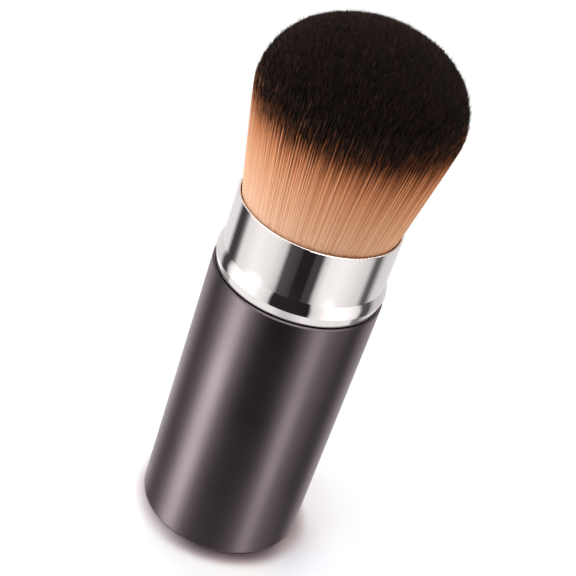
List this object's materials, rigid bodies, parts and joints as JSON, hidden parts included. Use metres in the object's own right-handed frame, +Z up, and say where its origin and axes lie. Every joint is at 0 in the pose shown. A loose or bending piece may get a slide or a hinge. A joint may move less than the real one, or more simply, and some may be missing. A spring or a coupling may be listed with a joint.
{
  "type": "kabuki makeup brush",
  "caption": "Retractable kabuki make-up brush: dense domed tuft, polished collar on a sleeve that slides up over the bristles, black cylindrical handle.",
  "frame": {"origin": "centre of the flat base that the brush stands on", "axes": "+Z up along the brush's axis from the base to the top of the tuft; +X and +Y are across it"},
  "size_m": [0.0386, 0.0386, 0.1124],
  "materials": {
    "anodised_black": "satin black anodised",
    "liner_plastic": "moulded, matt",
    "black_acetal": "moulded, smooth",
    "screw_steel": "zinc plated",
    "cup_aluminium": "drawn, bright",
    "cast_glue": "cast resin",
    "binding_thread": "waxed thread",
    "bristle": "fine synthetic filament, tan with near-black tips",
    "polished_chrome": "mirror polished",
    "tube_aluminium": "satin anodised silver",
    "band_rubber": "soft elastomer"
  },
  "bodies": {
    "handle": {"handle_shell": "anodised_black", "handle_liner": "liner_plastic", "mouth_bush": "black_acetal", "base_plate": "liner_plastic", "support_post": "liner_plastic", "post_screws": "screw_steel", "screw_washers": "screw_steel", "ferrule_cup": "cup_aluminium", "glue_plug": "cast_glue", "root_binding": "binding_thread", "inner_bristles": "bristle", "outer_bristles": "bristle"},
    "sleeve": {"collar": "polished_chrome", "bead_ring": "polished_chrome", "funnel_ring": "liner_plastic", "slide_tube": "tube_aluminium", "sleeve_foot": "black_acetal", "friction_rings": "band_rubber"}
  },
  "joints": [
    {"name": "sleeve_slide", "type": "slide", "parent": "handle", "child": "sleeve", "axis": [0, 0, 1], "range_m": [0, 0.0406], "deforming": ["outer_bristles"]}
  ]
}
